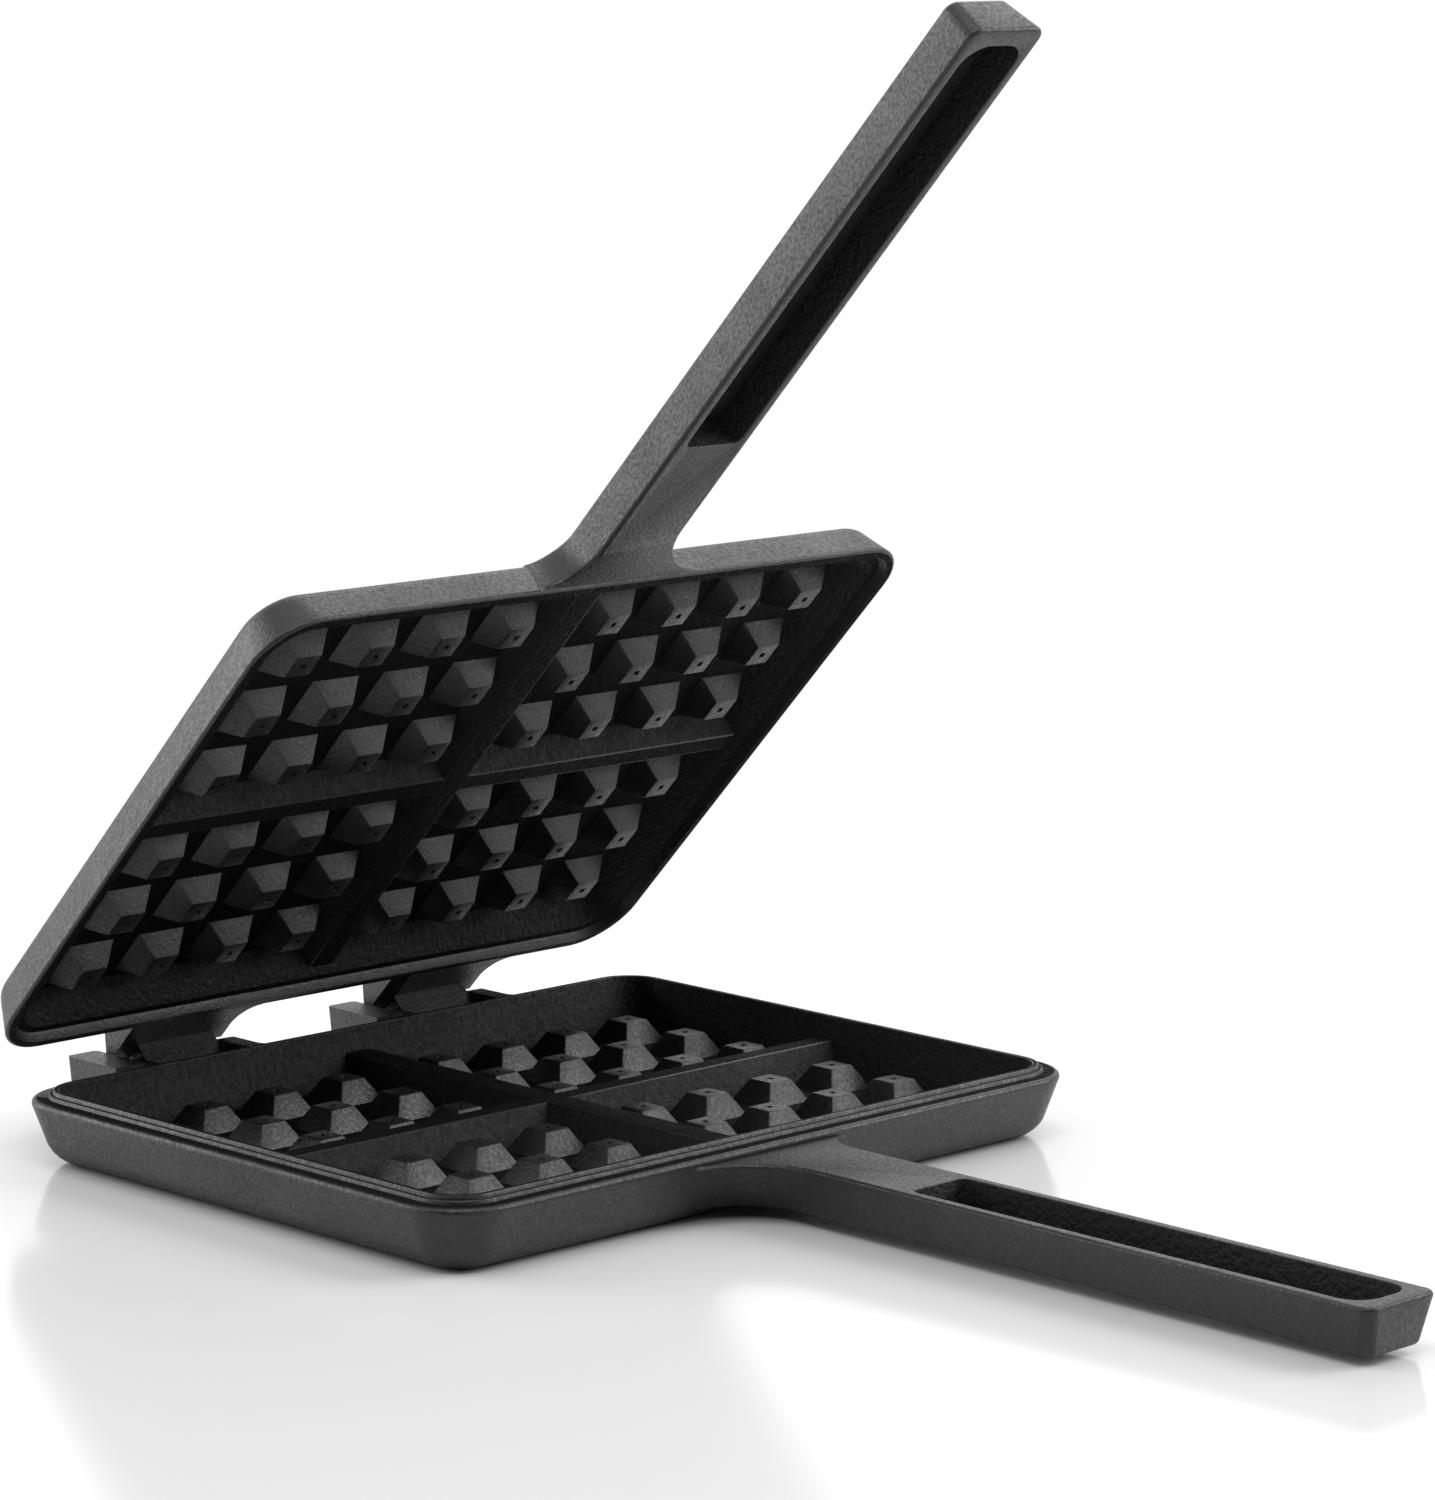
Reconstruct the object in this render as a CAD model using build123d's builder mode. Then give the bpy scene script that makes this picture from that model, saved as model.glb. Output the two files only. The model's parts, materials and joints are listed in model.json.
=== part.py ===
from build123d import *
import os
from math import radians, tan

# Stovetop waffle iron: two cast-iron plates hinged at the back, with four waffles between them.
# Millimetres. The origin is the centre of the lower plate's flat underside, +X points along
# the handles and +Z is up. The lid is modelled shut and then swung open about the hinge pins.

# Plates
plate_length = 181.8        # along X, at the face where the plates meet
plate_width = 230.1         # along Y
plate_corner = 18.0         # corner radius in plan
plate_draft = 20.0          # slope of the outer walls, degrees
face_height = 18.0          # ledge of the lower plate, where the plates meet
face_edge_radius = 1.3      # rounded edge all round the ledge
bottom_edge_radius = 9.5
lid_inset = 0.85            # lid's edge inside the lower plate's, all round
lid_height = 13.4           # lip to back of the lid
lid_edge_radius = 5.0
lip_edge_radius = 0.8       # rounded edge all round the lid's lip
lid_gap = 0.25              # between the lid's lip and the ledge when shut
open_angle = 46.0           # how far the lid stands open at rest

# Raised rim of the lower plate, in two steps, and the recess of the lid that drops over it
ledge_width = 4.9
step_height = 1.0           # first step of the rim, above the ledge
step_width = 0.9            # flat on top of the first step
rim_height = 2.1            # whole rim, above the ledge
rim_slope = 0.3             # run of the outer face of each step
rim_top = 1.4               # flat on top of the rim
lip_width = 3.1             # flat lip of the lid
lip_slope = 1.4             # run of the recess's wall
recess_gap = 0.4            # over the rim's top when shut

# Waffle pattern
floor_thickness = 5.3
lid_floor_thickness = 3.4
wall_slope = 6.8            # run of the wall round the waffle floor
post_pitch = 24.1
post_rows = 3               # per waffle, along X
post_columns = 4            # per waffle, along Y
first_post = 17.5           # from the middle of the plate
post_top = 8.0
post_base = 15.6
post_height = 6.3
ridge_height = 8.7
lid_ridge_height = 5.8
cross_ridge_top = 8.4       # ridge along X, between the left and right waffles
long_ridge_top = 6.0        # ridge along Y
ridge_flank = 5.4           # run of each flank of a ridge

# Handles
handle_end = 292.0          # from the middle of the plate
handle_width = 26.0         # at the flat side
handle_thickness = 13.0
handle_draft = 11.0
handle_step = 2.0           # flat side of the lower handle below the ledge
lid_handle_step = 0.5       # flat side of the lid's handle above the lip
handle_fall = 0.25          # slope of the flat side, degrees
handle_corner = 3.5
handle_edge_radius = 1.8    # outer face
handle_rim_radius = 1.0     # flat side
near_flare = 25.0           # plan radii where the lower handle runs into the plate
far_flare = 11.0
lid_near_flare = 13.0
lid_far_flare = 19.0
flare_fade = 0.7            # flare at the outer face of a handle, as a share of the plan radius
trough_start = 143.0        # from the middle of the plate
trough_length = 143.5
trough_width = 19.6
trough_depth = 8.6
trough_draft = 9.0
trough_root_radius = 3.0
trough_end_radius = 6.9

# Hinges
axis_behind = 13.7          # behind the plate's edge
axis_z = 11.8
hinge_pitch = 93.0
hinge_start = -76.0         # straight side of the first hinge
pin_radius = 2.2
pin_fit = 0.01              # radial, in the lower plate
pin_clearance = 0.06        # radial, in the lid's knuckles
pin_inset = 0.3             # pin end inside the straight ear's side
pin_chamfer = 0.5
straight_ear = 10.1         # width of the straight ear
straight_ear_behind = 9.4   # axis to the rear of the straight ear
straight_ear_corner = 1.4
flared_ear = 5.5
flared_ear_drop = 0.9       # its top below the straight ear's
flared_ear_behind = 6.0
flared_ear_rounding = 5.9
flared_ear_flare = 3.0      # plan radius where the flared ear runs into the plate
ear_rise = 0.9              # ear's top above the ledge
ear_height = 14.3
ear_draft = 5.0
ear_step = 1.2              # between the raised part of an ear and the lid's edge
fork_opening = 35.4         # between the ears of one hinge
boss_radius = 5.0
boss_length = 8.2
knuckle_radius = 4.7
knuckle_gap = 0.5
knuckle_rise = 3.5          # straight part of the knuckle's rear above the axis
knuckle_top = 3.4           # below the back of the lid
knuckle_lap = 1.0           # of the knuckle in the arm, above the arm's underside
arm_gap = 0.9               # between the straight ear and the lid's arm beside it
arm_clearance = 0.25        # over the ears when shut
arm_overhang = 5.2          # over the flared ear
arm_flare = 7.5             # plan radius where the arm runs into the lid
arm_reach = 13.25           # rear tip of the arm behind the plate's edge
arm_top_reach = 4.6
arm_top_drop = 1.2          # below the back of the lid
arm_draft = 3.0
heel_reach = 2.0            # heel of the arm behind its tip, over the boss

# Worked out from the sizes above
half_length = plate_length / 2
axis_x = -half_length - axis_behind
step_inset = ledge_width + rim_slope
rim_inset = step_inset + step_width + rim_slope
cavity_inset = rim_inset + rim_top
floor_inset = cavity_inset + wall_slope
cavity_edge = cavity_inset - half_length
step_z = face_height + step_height
rim_z = face_height + rim_height
lip_z = face_height + lid_gap
back_z = lip_z + lid_height
recess_z = rim_z + recess_gap
lid_floor_z = back_z - lid_floor_thickness
ear_top = face_height + ear_rise
arm_underside = ear_top + arm_clearance
arm_top = back_z - arm_top_drop
arm_tip = -half_length - arm_reach
arm_rear_top = -half_length - arm_top_reach
straight_side = hinge_start + straight_ear
flared_side = straight_side + fork_opening
fork_width = straight_ear + fork_opening + flared_ear
boss_side = straight_side + boss_length
knuckle_end = flared_side - knuckle_gap
knuckle_width = knuckle_end - boss_side - knuckle_gap
knuckle_foot = arm_underside + knuckle_lap
arm_side = straight_side + arm_gap
arm_end = flared_side + arm_overhang


def inward(height, draft):
    """How far a drafted face leans in over a height."""
    return height * tan(radians(draft))


def plate_outline(inset):
    """Rounded rectangle of a plate, moved in from its edge."""
    RectangleRounded(plate_length - 2 * inset, plate_width - 2 * inset, plate_corner - inset)


def handle_outline(end, side, edge, near, far):
    """Plan of a handle, flared on both sides where it runs into the plate's edge."""
    corner = handle_corner
    root = edge - near_flare
    with BuildSketch() as outline:
        with BuildLine():
            Polyline((root, side + far), (root, -side - near), (edge, -side - near))
            CenterArc((edge + near, -side - near), near, 180, -90)
            Line((edge + near, -side), (end - corner, -side))
            CenterArc((end - corner, corner - side), corner, -90, 90)
            Line((end, corner - side), (end, side - corner))
            CenterArc((end - corner, side - corner), corner, 0, 90)
            Line((end - corner, side), (edge + far, side))
            CenterArc((edge + far, side + far), far, -90, -90)
            Line((edge, side + far), (root, side + far))
        make_face()
    return outline.sketch


def lug_outline(rear, start, end, flare):
    """Plan of a lug behind the plate, straight on one side and flared on the other."""
    edge = -half_length
    turn = end + flare
    with BuildSketch() as outline:
        with BuildLine():
            Polyline((edge - flare, end), (rear, end), (rear, start), (cavity_edge, start))
            Polyline((cavity_edge, start), (cavity_edge, turn), (edge, turn))
            CenterArc((edge - flare, turn), flare, 0, -90)
        make_face()
    return outline.sketch


def handle_part(near, far):
    """Handle on its own: flat side at z = 0, x measured from the plate's edge."""
    reach = handle_end - half_length
    lean = inward(handle_thickness, handle_draft)
    wall = inward(handle_thickness, plate_draft)
    with BuildPart() as handle:
        with BuildSketch():
            add(handle_outline(reach, handle_width / 2, 0, near, far))
        with BuildSketch(Plane.XY.offset(-handle_thickness)):
            add(handle_outline(
                reach - lean, handle_width / 2 - lean, -wall, near * flare_fade, far * flare_fade
            ))
        loft(ruled=True)
        fillet(handle.faces().sort_by(Axis.Z)[0].edges().filter_by_position(
            Axis.X, 0, reach), handle_edge_radius)
        fillet(handle.faces().sort_by(Axis.Z)[-1].edges().filter_by_position(
            Axis.X, 0, reach), handle_rim_radius)
        with BuildSketch() as trough:
            with Locations((trough_start + trough_length / 2 - half_length, 0)):
                Rectangle(trough_length, trough_width)
            fillet(trough.vertices().group_by(Axis.X)[0], trough_root_radius)
            fillet(trough.vertices().group_by(Axis.X)[-1], trough_end_radius)
        extrude(amount=-trough_depth, taper=trough_draft, mode=Mode.SUBTRACT)
    return handle.part


def ridge(top, height, length):
    """Ridge between two waffles, lying along X with its foot on the origin."""
    foot = top / 2 + ridge_flank
    with BuildPart() as bar:
        with BuildSketch(Plane.YZ):
            with BuildLine():
                Polyline((-foot, 0), (foot, 0), (top / 2, height), (-top / 2, height), close=True)
            make_face()
        extrude(amount=length / 2, both=True)
    return bar.part


def post_places(z):
    """Centres of all posts of one plate, quarter by quarter."""
    return [
        (side_x * (first_post + row * post_pitch), side_y * (first_post + column * post_pitch), z)
        for side_x in (-1, 1)
        for side_y in (-1, 1)
        for row in range(post_rows)
        for column in range(post_columns)
    ]


# One post of the waffle pattern, standing on the origin
with BuildPart() as post:
    with BuildSketch():
        Rectangle(post_base, post_base)
    with BuildSketch(Plane.XY.offset(post_height)):
        Rectangle(post_top, post_top)
    loft(ruled=True)

# Fork of one hinge on the lower plate: a straight ear that carries a boss with its web
with BuildPart() as fork:
    with BuildSketch(Plane.XY.offset(ear_top)) as straight_plan:
        with BuildLine():
            Polyline(
                (axis_x - straight_ear_behind, hinge_start), (cavity_edge, hinge_start),
                (cavity_edge, straight_side), (axis_x - straight_ear_behind, straight_side), close=True,
            )
        make_face()
        fillet(straight_plan.vertices().group_by(Axis.X)[0], straight_ear_corner)
    extrude(amount=-ear_height, taper=ear_draft)
    with BuildSketch(Plane.XZ.offset(-boss_side)):
        with Locations((axis_x, axis_z)):
            Circle(boss_radius)
            Rectangle(cavity_edge - axis_x, 2 * boss_radius, align=(Align.MIN, Align.CENTER))
    extrude(amount=boss_length + straight_ear / 2)

# Flared ear at the other end of the fork, rounded so that the lid's arm can swing over it
with BuildPart() as flared_lug:
    with BuildSketch(Plane.XY.offset(ear_top - flared_ear_drop)):
        add(lug_outline(
            axis_x - flared_ear_behind, flared_side, flared_side + flared_ear, flared_ear_flare
        ))
    extrude(amount=-ear_height, taper=ear_draft)
    fillet(flared_lug.edges().filter_by(Axis.Y).group_by(Axis.X)[0], flared_ear_rounding)

# Arm of one hinge on the lid, modelled shut: the arm, its heel over the boss, and the knuckle
with BuildPart() as lid_lug:
    with BuildSketch(Plane.XY.offset(arm_underside)):
        add(lug_outline(arm_tip, arm_side, arm_end, arm_flare))
    extrude(amount=arm_top - arm_underside, taper=arm_draft)
    with BuildSketch(Plane.XZ.offset(-arm_end - 2 * arm_flare)):
        with BuildLine():
            Polyline(
                (cavity_edge, arm_underside), (arm_tip, arm_underside),
                (arm_rear_top, arm_top), (cavity_edge, arm_top), close=True,
            )
        make_face()
    extrude(amount=arm_end + 2 * arm_flare - hinge_start, mode=Mode.INTERSECT)
    with BuildSketch(Plane.XZ.offset(-boss_side)):
        with BuildLine():
            Polyline(
                (cavity_edge, lip_z), (arm_tip - heel_reach, lip_z), (arm_rear_top, arm_top),
                (cavity_edge, arm_top), close=True,
            )
        make_face()
    extrude(amount=boss_side - arm_side)
    with BuildSketch(Plane.XZ.offset(-knuckle_end)):
        with BuildLine():
            Polyline(
                (axis_x + knuckle_radius, axis_z), (axis_x + knuckle_radius, knuckle_foot),
                (arm_rear_top, knuckle_foot), (arm_rear_top, back_z - knuckle_top),
                (axis_x - knuckle_radius, axis_z + knuckle_rise), (axis_x - knuckle_radius, axis_z),
            )
            CenterArc((axis_x, axis_z), knuckle_radius, 180, 180)
        make_face()
    extrude(amount=knuckle_width)
    with BuildSketch(Plane.XZ.offset(-knuckle_end)):
        with Locations((axis_x, axis_z)):
            Circle(pin_radius + pin_clearance)
    extrude(amount=knuckle_width, mode=Mode.SUBTRACT)

hinge_places = [(0, 0, 0), (0, hinge_pitch, 0)]
fork_middle = hinge_start + fork_width / 2
pin_places = [(axis_x, fork_middle + y, axis_z) for _, y, _ in hinge_places]

# Lower plate: pan with a raised rim, 48 posts, two ridges, handle and the forks of both hinges
with BuildPart() as lower_plate:
    with BuildSketch(Plane.XY.offset(face_height)):
        plate_outline(0)
    extrude(amount=-face_height, taper=plate_draft)
    fillet(lower_plate.faces().sort_by(Axis.Z)[0].edges(), bottom_edge_radius)
    fillet(lower_plate.faces().sort_by(Axis.Z)[-1].edges(), face_edge_radius)
    with Locations(Location((half_length, 0, face_height - handle_step), (0, handle_fall, 0))):
        add(handle_part(near_flare, far_flare))
    with Locations(hinge_places):
        add(fork.part)
        add(flared_lug.part)
    with BuildSketch(Plane.XY.offset(face_height)):
        plate_outline(-ear_step)
    extrude(amount=2 * ear_rise, mode=Mode.SUBTRACT)
    with BuildSketch(Plane.XY.offset(face_height)):
        plate_outline(ledge_width)
    with BuildSketch(Plane.XY.offset(step_z)):
        plate_outline(step_inset)
    loft(ruled=True)
    with BuildSketch(Plane.XY.offset(step_z)):
        plate_outline(step_inset + step_width)
    with BuildSketch(Plane.XY.offset(rim_z)):
        plate_outline(rim_inset)
    loft(ruled=True)
    with BuildSketch(Plane.XY.offset(rim_z)):
        plate_outline(cavity_inset)
    with BuildSketch(Plane.XY.offset(floor_thickness)):
        plate_outline(floor_inset)
    loft(ruled=True, mode=Mode.SUBTRACT)
    with Locations((0, 0, floor_thickness)):
        add(ridge(cross_ridge_top, ridge_height, plate_length - 2 * cavity_inset))
        add(ridge(long_ridge_top, ridge_height, plate_width - 2 * cavity_inset), rotation=(0, 0, 90))
    with Locations(post_places(floor_thickness)):
        add(post.part)
    with Locations(pin_places):
        Cylinder(
            pin_radius + pin_fit, fork_width + flared_ear_flare, rotation=(90, 0, 0), mode=Mode.SUBTRACT
        )

# Lid: a shallower pan turned over, with the same pattern, its own handle, arms and knuckles
lid_handle = mirror(handle_part(lid_near_flare, lid_far_flare), Plane.XY)
with BuildPart() as lid:
    with BuildSketch(Plane.XY.offset(lip_z)):
        plate_outline(lid_inset)
    extrude(amount=lid_height, taper=plate_draft)
    fillet(lid.faces().sort_by(Axis.Z)[-1].edges(), lid_edge_radius)
    fillet(lid.faces().sort_by(Axis.Z)[0].edges(), lip_edge_radius)
    with Locations(Location((half_length, 0, lip_z + lid_handle_step), (0, -handle_fall, 0))):
        add(lid_handle)
    with Locations(hinge_places):
        add(lid_lug.part)
    with BuildSketch(Plane.XY.offset(lip_z)):
        plate_outline(lid_inset + lip_width)
    with BuildSketch(Plane.XY.offset(recess_z)):
        plate_outline(lid_inset + lip_width + lip_slope)
    loft(ruled=True, mode=Mode.SUBTRACT)
    with BuildSketch(Plane.XY.offset(recess_z)):
        plate_outline(cavity_inset)
    with BuildSketch(Plane.XY.offset(lid_floor_z)):
        plate_outline(floor_inset)
    loft(ruled=True, mode=Mode.SUBTRACT)
    with Locations(Location((0, 0, lid_floor_z), (180, 0, 0))):
        add(ridge(cross_ridge_top, lid_ridge_height, plate_length - 2 * cavity_inset))
        add(ridge(long_ridge_top, lid_ridge_height, plate_width - 2 * cavity_inset), rotation=(0, 0, 90))
    with Locations(post_places(lid_floor_z)):
        add(post.part, rotation=(180, 0, 0))

# Hinge pins: short steel rods through each fork and its knuckle
with BuildPart() as hinge_pins:
    with Locations(pin_places):
        Cylinder(pin_radius, fork_width - 2 * pin_inset, rotation=(90, 0, 0))
    chamfer(hinge_pins.edges().filter_by(GeomType.CIRCLE), pin_chamfer)

lid.part = lid.part.rotate(Axis((axis_x, 0, axis_z), (0, -1, 0)), open_angle)

lower_plate.part.label = "lower_plate"
lid.part.label = "lid"
hinge_pins.part.label = "hinge_pins"
os.makedirs("parts", exist_ok=True)
export_step(lower_plate.part, "parts/lower_plate.step")
export_step(lid.part, "parts/lid.step")
export_step(hinge_pins.part, "parts/hinge_pins.step")
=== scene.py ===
import json
import math

import bmesh
import bpy
from mathutils import Matrix, Vector


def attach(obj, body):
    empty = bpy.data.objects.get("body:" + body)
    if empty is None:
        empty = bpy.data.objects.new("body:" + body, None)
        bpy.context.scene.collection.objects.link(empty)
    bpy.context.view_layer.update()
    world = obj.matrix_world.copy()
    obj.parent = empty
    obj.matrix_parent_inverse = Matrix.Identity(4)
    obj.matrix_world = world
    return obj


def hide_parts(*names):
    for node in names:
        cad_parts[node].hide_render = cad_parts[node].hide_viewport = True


# Stovetop waffle iron: two seasoned castings that swing on two steel pins.
# Everything is placed in metres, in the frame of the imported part: +X along the handles, +Z up.
# The shapes of the castings are worked on in millimetres, with the iron shut.

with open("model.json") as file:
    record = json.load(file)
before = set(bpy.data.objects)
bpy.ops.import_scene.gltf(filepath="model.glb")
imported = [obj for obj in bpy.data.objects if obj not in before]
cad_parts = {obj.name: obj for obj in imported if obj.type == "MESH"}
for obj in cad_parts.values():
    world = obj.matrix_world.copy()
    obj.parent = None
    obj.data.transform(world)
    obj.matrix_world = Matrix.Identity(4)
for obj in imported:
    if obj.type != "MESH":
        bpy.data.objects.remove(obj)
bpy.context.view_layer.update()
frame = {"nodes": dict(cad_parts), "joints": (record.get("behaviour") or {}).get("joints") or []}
mm = 0.001


def toLinear(hexColour):
    # sRGB hex to the linear colour that the shader wants
    parts = [int(hexColour[i:i + 2], 16) / 255 for i in (1, 3, 5)]
    return [p / 12.92 if p <= 0.04045 else ((p + 0.055) / 1.055) ** 2.4 for p in parts] + [1.0]


def addNode(tree, kind, settings=None, links=None):
    # one node with its plain settings, its socket values and its incoming links
    node = tree.nodes.new(kind)
    for name, value in (settings or {}).items():
        if name in node.inputs:
            node.inputs[name].default_value = value
        else:
            setattr(node, name, value)
    for name, source in (links or {}).items():
        tree.links.new(source, node.inputs[name])
    return node


def newMaterial(name):
    material = bpy.data.materials.new(name)
    material.use_nodes = True
    material.node_tree.nodes.clear()
    return material, material.node_tree


def selectOnly(piece):
    bpy.ops.object.select_all(action="DESELECT")
    piece.select_set(True)
    bpy.context.view_layer.objects.active = piece


# Seasoned cast iron: sand-cast, then oil baked on until it is a black satin skin over the oxide.
# The skin is no metal itself: little colour, and a soft mirror that grows at a low angle.
castIron = {
    "dark": "#131314",
    "light": "#1f1f20",
    "ior": 1.46,
    "smooth": 0.34,
    "rough": 0.48,
    "grainSize": 0.5 * mm,           # sand grains, drawn coarser than real sand so that they show
    "grainDepth": 0.17 * mm,
    "grainSpread": (0.35, 0.65),     # where most of the grain noise lies
    "grainGloss": 0.26,              # how much the gloss changes from grain to grain
    "waveSize": 4.0 * mm,            # gentle waviness of the mould's face
    "waveDepth": 0.04 * mm,
    "patchScale": 28.0,              # cloudy patches of thicker and thinner oil, about 18 mm wide
    "patchSpread": (0.3, 0.7),
}

# Walls and ridge sides inside the plates, and the troughs, keep the full roughness of the sand; their
# darker colour and weaker mirror are painted shade in these hollows.
shadedCavityIron = dict(castIron, dark="#101011", light="#1c1c1c", ior=1.27, smooth=0.5, rough=0.66,
                  grainSize=0.8 * mm, grainDepth=0.9 * mm)

# The flat floors and ridge tops inside the plates are the darkest and the most matt: painted shade,
# deeper than on the walls, with a weaker painted mirror.
deepShadedFloorIron = dict(shadedCavityIron, dark="#0a0a0b", light="#131313", ior=1.14, smooth=0.6, rough=0.8)


def makeCastIron(name, s):
    material, tree = newMaterial(name)
    place = addNode(tree, "ShaderNodeTexCoord").outputs["Object"]
    grain = addNode(tree, "ShaderNodeTexNoise", {
        "Scale": 1 / s["grainSize"] / 2, "Detail": 3.0, "Roughness": 0.6,
    }, {"Vector": place})
    wave = addNode(tree, "ShaderNodeTexNoise", {
        "Scale": 1 / s["waveSize"] / 2, "Detail": 2.0,
    }, {"Vector": place})
    patch = addNode(tree, "ShaderNodeTexNoise", {
        "Scale": s["patchScale"], "Detail": 4.0, "Roughness": 0.55,
    }, {"Vector": place})
    colour = addNode(tree, "ShaderNodeMix", {
        "data_type": "RGBA", "A": toLinear(s["dark"]), "B": toLinear(s["light"]),
    }, {"Factor": patch.outputs["Fac"]})
    roughness = addNode(tree, "ShaderNodeMapRange", {
        "From Min": s["patchSpread"][0], "From Max": s["patchSpread"][1],
        "To Min": s["smooth"], "To Max": s["rough"],
    }, {"Value": patch.outputs["Fac"]})
    gloss = addNode(tree, "ShaderNodeMapRange", {
        "From Min": s["grainSpread"][0], "From Max": s["grainSpread"][1],
        "To Min": -s["grainGloss"] / 2, "To Max": s["grainGloss"] / 2,
    }, {"Value": grain.outputs["Fac"]})
    speckle = addNode(tree, "ShaderNodeMath", {"operation": "ADD"}, {
        0: roughness.outputs["Result"], 1: gloss.outputs["Result"],
    })
    waves = addNode(tree, "ShaderNodeBump", {
        "Strength": 1.0, "Distance": s["waveDepth"],
    }, {"Height": wave.outputs["Fac"]})
    grains = addNode(tree, "ShaderNodeBump", {
        "Strength": 1.0, "Distance": s["grainDepth"],
    }, {"Height": grain.outputs["Fac"], "Normal": waves.outputs["Normal"]})
    skin = addNode(tree, "ShaderNodeBsdfPrincipled", {"IOR": s["ior"]}, {
        "Base Color": colour.outputs["Result"],
        "Roughness": speckle.outputs["Value"],
        "Normal": grains.outputs["Normal"],
    })
    addNode(tree, "ShaderNodeOutputMaterial", None, {"Surface": skin.outputs["BSDF"]})
    return material


# Drawn steel rod: turned round its axis, so the light lies in fine rings; dull grey.
steelRod = {
    "colour": "#8f8f91",
    "roughness": 0.36,
    "ringPitch": 0.35 * mm,          # real turning marks are finer; these are coarse enough to show
    "ringDepth": 0.01 * mm,
    "ringStretch": 0.05,             # across the rod the pattern hardly changes, which makes it rings
}


def makeSteelRod(name, s):
    material, tree = newMaterial(name)
    place = addNode(tree, "ShaderNodeTexCoord").outputs["Object"]
    along = addNode(tree, "ShaderNodeMapping", {
        "Scale": (s["ringStretch"], 1.0, s["ringStretch"]),
    }, {"Vector": place})
    rings = addNode(tree, "ShaderNodeTexNoise", {
        "Scale": 1 / s["ringPitch"] / 2, "Detail": 2.0,
    }, {"Vector": along.outputs["Vector"]})
    bump = addNode(tree, "ShaderNodeBump", {
        "Strength": 1.0, "Distance": s["ringDepth"],
    }, {"Height": rings.outputs["Fac"]})
    steel = addNode(tree, "ShaderNodeBsdfPrincipled", {
        "Base Color": toLinear(s["colour"]), "Metallic": 1.0, "Roughness": s["roughness"],
    }, {"Normal": bump.outputs["Normal"]})
    addNode(tree, "ShaderNodeOutputMaterial", None, {"Surface": steel.outputs["BSDF"]})
    return material


# the second and third skins are darker copies of the first: painted shade inside the plates and
# troughs
castingSkins = [
    makeCastIron("seasoned_cast_iron_satin", castIron),
    makeCastIron("seasoned_cast_iron_sand_cast_painted_shade", shadedCavityIron),
    makeCastIron("seasoned_cast_iron_matt_painted_deep_shade", deepShadedFloorIron),
]
satin, shadedSandCast, mattInDeepShade = 0, 1, 2      # their places in the list
steelRodSkin = makeSteelRod("drawn_steel_rod", steelRod)
print("materials made")


# What differs between the two castings; heights are those of the shut iron.
castings = {
    "base": {
        "node": "lower_plate",
        "piece": "lower_casting",
        "facing": 1,                 # the pattern faces up
        "postTop": 11.6,
        "trough": (5.0, 14.8),       # heights between which the trough's floor and walls lie
        "edge": 90.9,                # from the middle to the wall, at the plate's face
        "level": 18.0,               # height of the face
        "depth": 18.0,               # from the face to the flat back
        "rounding": 9.5,             # radius of the round edge of the back
        "nearFlare": 25,             # how far the handle's flares reach along the wall
        "farFlare": 11,
        "flareStep": 0.73,           # how proud of the wall their ends are
    },
    "lid": {
        "node": "lid",
        "piece": "lid_casting",
        "facing": -1,
        "postTop": 21.95,
        "trough": (20.2, 29.5),
        "edge": 90.05,
        "level": 18.25,
        "depth": 13.4,
        "rounding": 5.0,
        "nearFlare": 13,
        "farFlare": 19,
        "flareStep": 1.03,
    },
}
draft = math.radians(20)             # lean of the plates' outer walls

lidHinge = frame["joints"][0]
openAngle = -lidHinge["range_deg"][0]

merging = {
    "distance": 0.002 * mm,
    "flatWithin": math.radians(0.05),
}


def copyOfNode(nodeName, pieceName, s):
    # a copy of a CAD node with its loose triangles merged into whole flat faces
    piece = bpy.data.objects.new(pieceName, frame["nodes"][nodeName].data.copy())
    bpy.context.scene.collection.objects.link(piece)
    selectOnly(piece)
    bpy.ops.mesh.customdata_custom_splitnormals_clear()
    bpy.ops.object.mode_set(mode="EDIT")
    bpy.ops.mesh.select_all(action="SELECT")
    bpy.ops.mesh.remove_doubles(threshold=s["distance"])
    bpy.ops.mesh.dissolve_limited(angle_limit=s["flatWithin"])
    bpy.ops.object.mode_set(mode="OBJECT")
    return piece


def turnAboutHinge(piece, degrees):
    # swings the mesh itself about the hinge line, so that it can be worked on shut
    hinge = Matrix.Translation(Vector(lidHinge["pos_m"]))
    piece.data.transform(hinge @ Matrix.Rotation(math.radians(degrees), 4, "Y") @ hinge.inverted())


def draftedWall(height, s):
    # where a plate's wall would stand at a height if its back had a sharp edge
    return s["edge"] - abs(height - s["level"]) * math.tan(draft)


def roundedWall(height, s):
    # where it does stand: drafted first, then the round edge of the back
    away = abs(height - s["level"])
    centre = s["depth"] - s["rounding"]
    if away < centre + s["rounding"] * math.sin(draft):
        return draftedWall(height, s)
    middle = s["edge"] - centre * math.tan(draft) - s["rounding"] / math.cos(draft)
    return middle + math.sqrt(max(s["rounding"] ** 2 - (away - centre) ** 2, 0))


flares = {
    "proud": (0.02, 30),             # a flare's points stand this far out from the wall
    "handleSide": 13,                # the handle's half width, where its flares begin
    "belowFace": 0.3,                # the edge of the plate's face stays as it is
}


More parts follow.
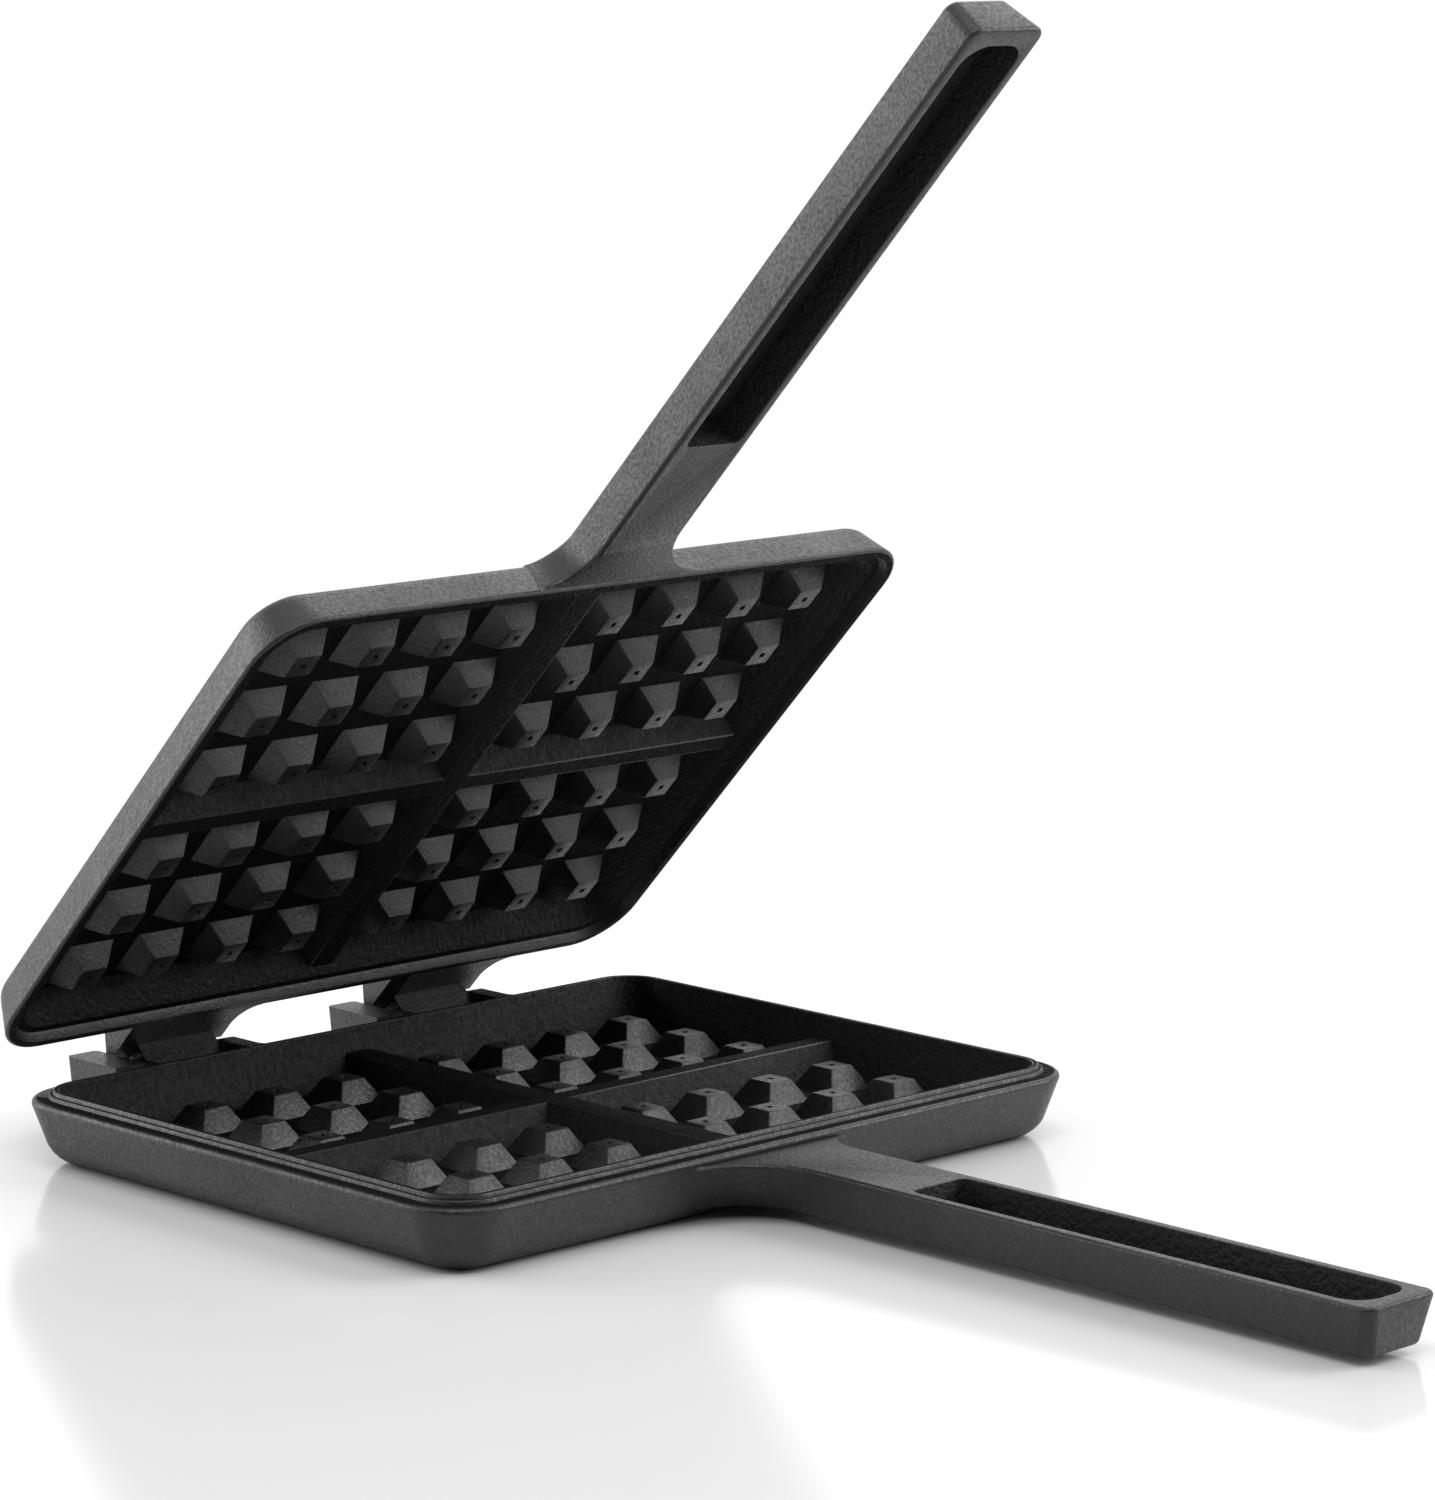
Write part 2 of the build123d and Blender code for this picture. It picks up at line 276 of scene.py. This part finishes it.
def blendFlares(piece, s):
    # the flares of a handle start flush with the plate's wall and its round edge, without a step
    for vertex in piece.data.vertices:
        place = vertex.co / mm
        wall = roundedWall(place.z, s)
        proud = place.x - wall
        below = (s["level"] - place.z) * s["facing"]
        if flares["proud"][0] < proud < flares["proud"][1] and below > flares["belowFace"]:
            reach = s["nearFlare"] if place.y < 0 else s["farFlare"]
            share = min(max((abs(place.y) - flares["handleSide"]) / reach, 0), 1)
            vertex.co.x -= min(proud, s["flareStep"] + draftedWall(place.z, s) - wall) * share * mm


# Zones of the castings, as half sizes along X and Y, and as heights where the iron is shut.
zones = {
    "pattern": (74, 98),             # posts and ridges, clear of the walls round them
    "besideRidges": 9.8,             # the middle ridges stay nearer than this to the middle lines
    "rimInside": (80, 104.5),        # the stepped rim, or the lip and the recess
    "rimOutside": (88.5, 112.5),
    "rimAbove": 17,
    "cavity": (83.5, 107.6),         # all that lies within the inner walls
    "cavityHeights": (5.0, 28.5),
    "cornerCentre": (73, 97),        # of the cavity's round corners
    "cornerRadius": 10.5,
    "trough": (143, 287),            # where the trough in a handle starts and ends
    "troughSide": 9.9,
    "mouthStart": 140,               # the same for the edges of its mouth
    "mouthSide": 10.5,
    "mouthAbove": 13,
}


def onPattern(place):
    return abs(place.x) < zones["pattern"][0] and abs(place.y) < zones["pattern"][1]


def onRim(place):
    across, along = abs(place.x), abs(place.y)
    pastInside = across > zones["rimInside"][0] or along > zones["rimInside"][1]
    withinOutside = across < zones["rimOutside"][0] and along < zones["rimOutside"][1]
    return pastInside and withinOutside and place.z > zones["rimAbove"]


def onMouth(place):
    beside = abs(place.y) < zones["mouthSide"]
    return beside and place.x > zones["mouthStart"] and place.z > zones["mouthAbove"]


def inTrough(place, heights):
    # the floor and walls of the trough in a handle
    along = zones["trough"][0] < place.x < zones["trough"][1]
    return along and abs(place.y) < zones["troughSide"] and heights[0] < place.z < heights[1]


def inCavity(place):
    # floors, walls, ridges and posts: the zone that gets the painted shade
    across, along = abs(place.x), abs(place.y)
    within = across <= zones["cavity"][0] and along <= zones["cavity"][1]
    low, high = zones["cavityHeights"]
    pastX = max(across - zones["cornerCentre"][0], 0)
    pastY = max(along - zones["cornerCentre"][1], 0)
    return within and low < place.z < high and math.hypot(pastX, pastY) <= zones["cornerRadius"]


rounding = {
    "width": 0.3 * mm,
    "steps": 2,
    "sharpest": math.radians(40),    # edges that turn by more than this are rounded
}


def roundEdges(piece, wanted, s):
    # rounds the sharp outward edges in a zone; the new strips are marked with the sand-cast skin
    selectOnly(piece)
    bpy.ops.object.mode_set(mode="EDIT")
    bpy.ops.mesh.select_mode(type="EDGE")
    bpy.ops.mesh.select_all(action="DESELECT")
    mesh = bmesh.from_edit_mesh(piece.data)
    picked = 0
    for edge in mesh.edges:
        if len(edge.link_faces) != 2 or not edge.is_convex:
            continue
        middle = (edge.verts[0].co + edge.verts[1].co) / 2 / mm
        if edge.calc_face_angle(0) > s["sharpest"] and wanted(middle):
            edge.select = True
            picked += 1
    mesh.select_flush_mode()
    bmesh.update_edit_mesh(piece.data)
    if picked:
        bpy.ops.mesh.bevel(offset=s["width"], segments=s["steps"], affect="EDGES",
                           clamp_overlap=True, material=shadedSandCast)
    bpy.ops.object.mode_set(mode="OBJECT")
    print(piece.name, "edges rounded:", picked)


dimple = {
    "topArea": (30 * mm * mm, 70 * mm * mm),    # of a post's flat top
    "sameHeight": 0.1 * mm,
    "flat": 0.999,                   # how straight up or down the top faces
    "margin": 2.8 * mm,              # from the post's edge to the dimple
    "slope": 0.12 * mm,
    "depth": 0.8 * mm,
}


def dimplePosts(piece, facing, postTop, s):
    # a small square dimple in the flat top of each post
    selectOnly(piece)
    bpy.ops.object.mode_set(mode="EDIT")
    bpy.ops.mesh.select_mode(type="FACE")
    bpy.ops.mesh.select_all(action="DESELECT")
    mesh = bmesh.from_edit_mesh(piece.data)
    tops = 0
    for face in mesh.faces:
        atTop = abs(face.calc_center_median().z - postTop * mm) < s["sameHeight"]
        level = face.normal.z * facing > s["flat"]
        if atTop and level and s["topArea"][0] < face.calc_area() < s["topArea"][1]:
            face.select = True
            tops += 1
    bmesh.update_edit_mesh(piece.data)
    bpy.ops.mesh.inset(thickness=s["margin"], depth=0, use_individual=True)
    bpy.ops.mesh.inset(thickness=s["slope"], depth=-s["depth"], use_individual=True)
    bpy.ops.object.mode_set(mode="OBJECT")
    print(piece.name, "tops dimpled:", tops)


skins = {
    "flank": 0.6,                    # a face that leans up or down by less than this is a flank
    "floor": 0.9,                    # and one by more than this is a floor or a ridge's top
    "nearTop": 1.0,                  # the dimple in a post's top lies within this of it
}


def onPost(place, normal, postTop):
    onFlank, onTop = abs(normal.z) < skins["flank"], abs(place.z - postTop) < skins["nearTop"]
    clearOfRidges = min(abs(place.x), abs(place.y)) > zones["besideRidges"]
    return onPattern(place) and clearOfRidges and (onFlank or onTop)


def skinOrShadeOf(face, s):
    # posts, and the rounded edges that roundEdges marked, keep the outside's satin skin, free of the
    # painted shade that the rest of the cavity gets
    place, markedEdge = face.center / mm, face.material_index == shadedSandCast
    # the trough in a handle gets the sand-cast skin with its painted shade
    if inTrough(place, s["trough"]):
        return shadedSandCast
    if markedEdge or not inCavity(place) or onPost(place, face.normal, s["postTop"]):
        return satin
    # elsewhere in the cavity: painted shade, darkest on the flat floors and ridge tops
    return mattInDeepShade if abs(face.normal.z) > skins["floor"] else shadedSandCast


smoothBelow = math.radians(35)

for body, s in castings.items():
    nodeName, pieceName = s["node"], s["piece"]
    casting = copyOfNode(nodeName, pieceName, merging)
    if body == "lid":
        turnAboutHinge(casting, openAngle)
    blendFlares(casting, s)
    casting.data.materials.clear()
    for skin in castingSkins:
        casting.data.materials.append(skin)
    for wanted in (onPattern, onRim, onMouth):
        roundEdges(casting, wanted, rounding)
    dimplePosts(casting, s["facing"], s["postTop"], dimple)
    for face in casting.data.polygons:
        face.material_index = skinOrShadeOf(face, s)
    if body == "lid":
        turnAboutHinge(casting, -openAngle)
    selectOnly(casting)
    bpy.ops.object.shade_smooth_by_angle(angle=smoothBelow)
    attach(casting, body)
    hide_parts(nodeName)
    print(pieceName, len(casting.data.polygons), "faces")

pins = frame["nodes"]["hinge_pins"]
for slot in pins.material_slots:
    slot.material = steelRodSkin
print("castings and pins made")


floorCard = {
    "diameter": 12.0,
    "corners": 96,
    "colour": "#f2f2f2",
    "roughness": 0.14,
    "ior": 1.8,
    "fadeStart": 0.5,                # from the middle of the floor
    "fadeEnd": 1.3,
}


def makeFloorMaterial(s):
    # smooth pale card with a soft mirror image; far out it runs into the white backdrop
    material, tree = newMaterial("pale_floor_card")
    place = addNode(tree, "ShaderNodeTexCoord").outputs["Object"]
    away = addNode(tree, "ShaderNodeVectorMath", {"operation": "LENGTH"}, {"Vector": place})
    fade = addNode(tree, "ShaderNodeMapRange", {
        "interpolation_type": "SMOOTHSTEP", "From Min": s["fadeStart"], "From Max": s["fadeEnd"],
    }, {"Value": away.outputs["Value"]})
    card = addNode(tree, "ShaderNodeBsdfPrincipled", {
        "Base Color": toLinear(s["colour"]), "Roughness": s["roughness"], "IOR": s["ior"],
    })
    white = addNode(tree, "ShaderNodeEmission", {"Strength": 1.0})
    mix = addNode(tree, "ShaderNodeMixShader", None, {
        0: fade.outputs["Result"], 1: card.outputs["BSDF"], 2: white.outputs["Emission"],
    })
    addNode(tree, "ShaderNodeOutputMaterial", None, {"Surface": mix.outputs["Shader"]})
    return material


bpy.ops.mesh.primitive_circle_add(vertices=floorCard["corners"], radius=floorCard["diameter"] / 2,
                                  fill_type="NGON")
floor = bpy.context.active_object
floor.name = "floor"
floor.data.materials.append(makeFloorMaterial(floorCard))


# the world lights at this strength, and shows as plain white to the camera and in reflections
worldLight = 0.6


def makeWorld(name, strength):
    world = bpy.data.worlds.new(name)
    world.use_nodes = True
    tree = world.node_tree
    tree.nodes.clear()
    rays = addNode(tree, "ShaderNodeLightPath")
    seen = addNode(tree, "ShaderNodeMath", {"operation": "MAXIMUM"}, {
        0: rays.outputs["Is Camera Ray"], 1: rays.outputs["Is Glossy Ray"],
    })
    seenThrough = addNode(tree, "ShaderNodeMath", {"operation": "MAXIMUM"}, {
        0: seen.outputs["Value"], 1: rays.outputs["Is Transmission Ray"],
    })
    level = addNode(tree, "ShaderNodeMapRange", {
        "To Min": strength, "To Max": 1.0,
    }, {"Value": seenThrough.outputs["Value"]})
    light = addNode(tree, "ShaderNodeBackground", {"Color": (1, 1, 1, 1)}, {
        "Strength": level.outputs["Result"],
    })
    addNode(tree, "ShaderNodeOutputWorld", None, {"Surface": light.outputs["Background"]})
    return world


bpy.context.scene.world = makeWorld("white_studio", worldLight)


# soft light from the left, from behind, from the right behind and from above
softboxes = {
    "left": {"place": (-1.6, -0.9, 0.7), "size": (1.3, 1.4), "power": 18},
    "back": {"place": (-0.7, 1.25, 1.3), "size": (1.2, 0.9), "power": 5},
    "right": {"place": (1.0, 1.15, 0.95), "size": (0.9, 1.2), "power": 17},
    "over": {"place": (0.5, -0.5, 2.0), "size": (1.2, 1.2), "power": 16},
}
softboxAim = (0.08, 0.0, 0.08)


def addSoftbox(name, target, s):
    bpy.ops.object.light_add(type="AREA", location=s["place"])
    box = bpy.context.active_object
    box.name = name
    box.data.shape = "RECTANGLE"
    box.data.size, box.data.size_y = s["size"]
    box.data.energy = s["power"]
    box.rotation_euler = (Vector(target) - Vector(s["place"])).to_track_quat("-Z", "Y").to_euler()


for side, s in softboxes.items():
    addSoftbox("softbox_" + side, softboxAim, s)


# a black card behind the camera keeps that side dark, as a product studio does
blackCard = {
    "place": (1.75, -1.65, 0.9),
    "aim": (0, 0, 0.5),
    "width": 4.2,
    "height": 2.6,
    "colour": "#0a0a0a",
}


def makeBlackPaint(name, s):
    material, tree = newMaterial(name)
    paint = addNode(tree, "ShaderNodeBsdfDiffuse", {"Color": toLinear(s["colour"])})
    addNode(tree, "ShaderNodeOutputMaterial", None, {"Surface": paint.outputs["BSDF"]})
    return material


bpy.ops.mesh.primitive_plane_add(size=1, location=blackCard["place"])
card = bpy.context.active_object
card.name = "black_card"
card.scale = (blackCard["width"], blackCard["height"], 1)
cardFacing = Vector(blackCard["place"]) - Vector(blackCard["aim"])
card.rotation_euler = cardFacing.to_track_quat("Z", "Y").to_euler()
card.data.materials.append(makeBlackPaint("black_card_matt", blackCard))
card.visible_camera = False          # other views look through it


viewpoint = {
    "place": (1.0312, -0.9386, 0.3398),
    "right": (0.69654, 0.71752, 0.0),
    "up": (-0.11731, 0.11388, 0.98655),
    "back": (0.70786, -0.68717, 0.16350),
    "lens": 127.217,                 # on a sensor of this width, both in mm
    "sensor": 36,
    "clip": (0.05, 50),
}


def addCamera(name, s):
    data = bpy.data.cameras.new(name)
    data.lens = s["lens"]
    data.sensor_width = s["sensor"]
    data.clip_start, data.clip_end = s["clip"]
    camera = bpy.data.objects.new(name, data)
    bpy.context.scene.collection.objects.link(camera)
    turn = Matrix((s["right"], s["up"], s["back"])).transposed()
    camera.matrix_world = Matrix.Translation(s["place"]) @ turn.to_4x4()
    return camera


bpy.context.scene.camera = addCamera("camera", viewpoint)
bpy.context.scene.view_settings.view_transform = "Standard"
print("studio made")
